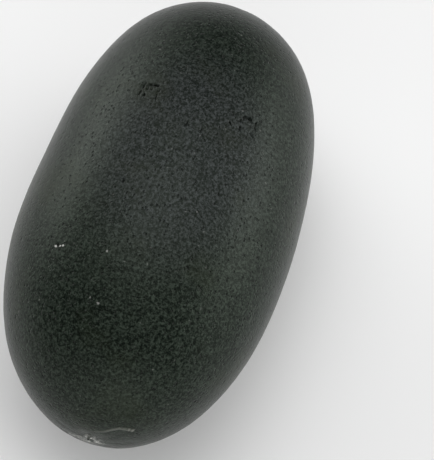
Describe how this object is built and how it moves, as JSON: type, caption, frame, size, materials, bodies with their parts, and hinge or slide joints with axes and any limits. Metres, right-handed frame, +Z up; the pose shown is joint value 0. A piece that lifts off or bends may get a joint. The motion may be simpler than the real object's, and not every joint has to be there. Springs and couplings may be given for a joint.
{
  "type": "watermelon",
  "caption": "Whole oblong watermelon with a dark, finely mottled rind, lying on its side on a small flat spot, with a corky mark at each end.",
  "frame": {"origin": "centre of the bounding box, on the surface that the fruit rests on", "axes": "+Y along the fruit's long axis towards the stem end, +Z up, +X to the right seen from the blossom end"},
  "size_m": [0.1642, 0.2874, 0.1613],
  "materials": {
    "rind": "satin, dark greyed green with a fine mottle and a faint waxy bloom"
  },
  "bodies": {
    "root": {"watermelon": "rind"}
  },
  "joints": []
}
